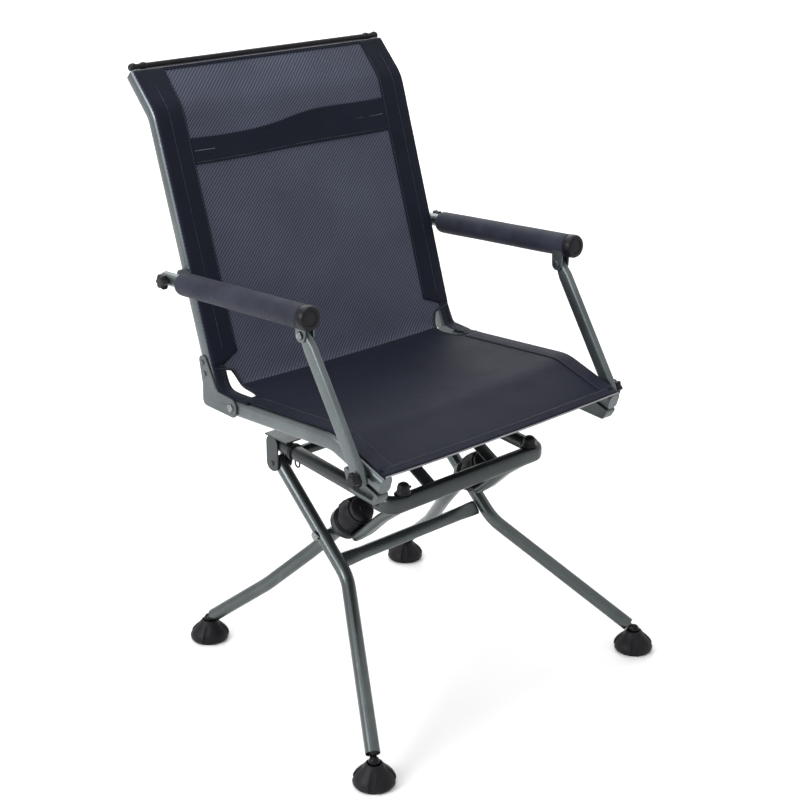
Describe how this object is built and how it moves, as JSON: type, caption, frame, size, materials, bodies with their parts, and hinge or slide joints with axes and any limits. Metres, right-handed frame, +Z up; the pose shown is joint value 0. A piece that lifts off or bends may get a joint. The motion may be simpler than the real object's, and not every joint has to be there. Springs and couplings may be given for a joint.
{
  "type": "blind swivel chair",
  "caption": "Folding sling chair with padded arms that turns on a folding steel base with spread legs and ball-jointed feet.",
  "frame": {"origin": "On the ground, below the middle of the chair's outline.", "axes": "+Z up; the sitter faces -Y; +X is the sitter's left."},
  "size_m": [0.628, 0.639, 0.9389],
  "materials": {
    "frame_paint": "satin gray-green metallic paint",
    "plate_steel": "satin gray-green metallic paint on pressed and cast steel",
    "bolt_steel": "zinc-plated",
    "mesh_fabric": "open coated polyester mesh",
    "seat_fabric": "close-woven coated polyester",
    "arm_foam": "closed-cell foam sleeve, matt",
    "black_plastic": "moulded, satin",
    "foot_rubber": "moulded, matt"
  },
  "bodies": {
    "base": {"base_front_tube": "frame_paint", "base_side_tube_right": "frame_paint", "base_side_tube_left": "frame_paint", "leg_bracket_right": "plate_steel", "leg_bracket_left": "plate_steel", "swivel_bar_right": "plate_steel", "swivel_bar_left": "plate_steel", "base_rear_tube": "frame_paint", "swivel_base_plate": "plate_steel", "swivel_bearing": "bolt_steel", "swivel_bolt": "bolt_steel"},
    "seat": {"seat_rail_right": "frame_paint", "seat_rail_left": "frame_paint", "seat_front_bracket_right": "plate_steel", "seat_front_bracket_left": "plate_steel", "back_hinge_pin_right": "bolt_steel", "back_hinge_pin_left": "bolt_steel", "seat_cross_tube_front": "frame_paint", "seat_cross_tube_rear": "frame_paint", "swivel_top_plate": "plate_steel", "seat_sling": "seat_fabric"},
    "back": {"back_rail_right": "frame_paint", "back_rail_left": "frame_paint", "hinge_plate_right": "plate_steel", "hinge_plate_left": "plate_steel", "back_top_tube": "black_plastic", "back_sling": "mesh_fabric"},
    "arm_right": {"arm_tube_right": "frame_paint", "arm_pad_right": "arm_foam", "arm_cap_right": "black_plastic", "clevis_bolt_right": "bolt_steel"},
    "strut_right": {"arm_strut_right": "frame_paint"},
    "arm_clamp_right": {"arm_knob_right": "black_plastic"},
    "strut_clamp_right": {"strut_knob_right": "black_plastic"},
    "arm_left": {"arm_tube_left": "frame_paint", "arm_pad_left": "arm_foam", "arm_cap_left": "black_plastic", "clevis_bolt_left": "bolt_steel"},
    "strut_left": {"arm_strut_left": "frame_paint"},
    "arm_clamp_left": {"arm_knob_left": "black_plastic"},
    "strut_clamp_left": {"strut_knob_left": "black_plastic"},
    "front_legs": {"front_leg_right": "frame_paint", "front_leg_left": "frame_paint", "leg_pivot_right": "bolt_steel", "leg_pivot_left": "bolt_steel", "leg_cross_bar": "frame_paint"},
    "rear_legs": {"rear_leg_right": "frame_paint", "rear_leg_left": "frame_paint", "knuckle_socket_right": "plate_steel", "knuckle_socket_left": "plate_steel", "knuckle_barrel_right": "black_plastic", "knuckle_barrel_left": "black_plastic", "leg_brace_right": "frame_paint", "leg_brace_left": "frame_paint"},
    "leg_lock_right": {"leg_lock_knob_right": "black_plastic"},
    "leg_lock_left": {"leg_lock_knob_left": "black_plastic"},
    "front_shoe_right": {"front_foot_right": "foot_rubber"},
    "front_shoe_left": {"front_foot_left": "foot_rubber"},
    "rear_shoe_right": {"rear_foot_right": "foot_rubber"},
    "rear_shoe_left": {"rear_foot_left": "foot_rubber"}
  },
  "joints": [
    {"name": "seat_swivel", "type": "hinge", "parent": "base", "child": "seat", "pos_m": [0, -0.04998, 0.39], "axis": [0, 0, 1], "continuous": true},
    {"name": "back_fold", "type": "hinge", "parent": "seat", "child": "back", "pos_m": [0, 0.07832, 0.4575], "axis": [1, 0, 0], "range_deg": [0, 104]},
    {"name": "arm_turn_right", "type": "hinge", "parent": "back", "child": "arm_right", "pos_m": [-0.2635, 0.19352, 0.6355], "axis": [1, 0, 0], "range_deg": [-104, 0]},
    {"name": "strut_turn_right", "type": "hinge", "parent": "seat", "child": "strut_right", "pos_m": [-0.2555, -0.23248, 0.4495], "axis": [1, 0, 0], "range_deg": [0, 104]},
    {"name": "arm_knob_turn_right", "type": "hinge", "parent": "arm_right", "child": "arm_clamp_right", "pos_m": [-0.2746, 0.19352, 0.6355], "axis": [1, 0, 0], "continuous": true},
    {"name": "strut_knob_turn_right", "type": "hinge", "parent": "strut_right", "child": "strut_clamp_right", "pos_m": [-0.2621, -0.23248, 0.4495], "axis": [1, 0, 0], "continuous": true},
    {"name": "arm_turn_left", "type": "hinge", "parent": "back", "child": "arm_left", "pos_m": [0.2635, 0.19352, 0.6355], "axis": [1, 0, 0], "range_deg": [-104, 0]},
    {"name": "strut_turn_left", "type": "hinge", "parent": "seat", "child": "strut_left", "pos_m": [0.2555, -0.23248, 0.4495], "axis": [1, 0, 0], "range_deg": [0, 104]},
    {"name": "arm_knob_turn_left", "type": "hinge", "parent": "arm_left", "child": "arm_clamp_left", "pos_m": [0.2746, 0.19352, 0.6355], "axis": [1, 0, 0], "continuous": true},
    {"name": "strut_knob_turn_left", "type": "hinge", "parent": "strut_left", "child": "strut_clamp_left", "pos_m": [0.2621, -0.23248, 0.4495], "axis": [1, 0, 0], "continuous": true},
    {"name": "leg_fold", "type": "hinge", "parent": "base", "child": "front_legs", "pos_m": [0, 0.08352, 0.3425], "axis": [-1, 0, 0], "range_deg": [0, 17]},
    {"name": "leg_crossing", "type": "hinge", "parent": "front_legs", "child": "rear_legs", "pos_m": [0, -0.01848, 0.254], "axis": [1, 0, 0], "range_deg": [0, 36]},
    {"name": "leg_lock_lift_right", "type": "slide", "parent": "base", "child": "leg_lock_right", "axis": [0, 0, 1], "range_m": [0, 0.007], "stiffness_N_per_m": 600, "springref_m": -0.002},
    {"name": "leg_lock_lift_left", "type": "slide", "parent": "base", "child": "leg_lock_left", "axis": [0, 0, 1], "range_m": [0, 0.007], "stiffness_N_per_m": 600, "springref_m": -0.002},
    {"name": "front_foot_tilt_right", "type": "hinge", "parent": "front_legs", "child": "front_shoe_right", "pos_m": [-0.282, -0.28748, 0.035], "axis": [1, 0, 0], "range_deg": [-10, 10]},
    {"name": "front_foot_tilt_left", "type": "hinge", "parent": "front_legs", "child": "front_shoe_left", "pos_m": [0.282, -0.28748, 0.035], "axis": [1, 0, 0], "range_deg": [-10, 10]},
    {"name": "rear_foot_tilt_right", "type": "hinge", "parent": "rear_legs", "child": "rear_shoe_right", "pos_m": [-0.219, 0.20652, 0.035], "axis": [1, 0, 0], "range_deg": [-10, 10]},
    {"name": "rear_foot_tilt_left", "type": "hinge", "parent": "rear_legs", "child": "rear_shoe_left", "pos_m": [0.219, 0.20652, 0.035], "axis": [1, 0, 0], "range_deg": [-10, 10]}
  ],
  "couplings": [
    {"joint": "arm_turn_right", "follows": "back_fold", "ratio": -1},
    {"joint": "strut_turn_right", "follows": "back_fold", "ratio": 1},
    {"joint": "arm_turn_left", "follows": "back_fold", "ratio": -1},
    {"joint": "strut_turn_left", "follows": "back_fold", "ratio": 1},
    {"joint": "leg_crossing", "follows": "leg_fold", "ratio": 2.1}
  ]
}
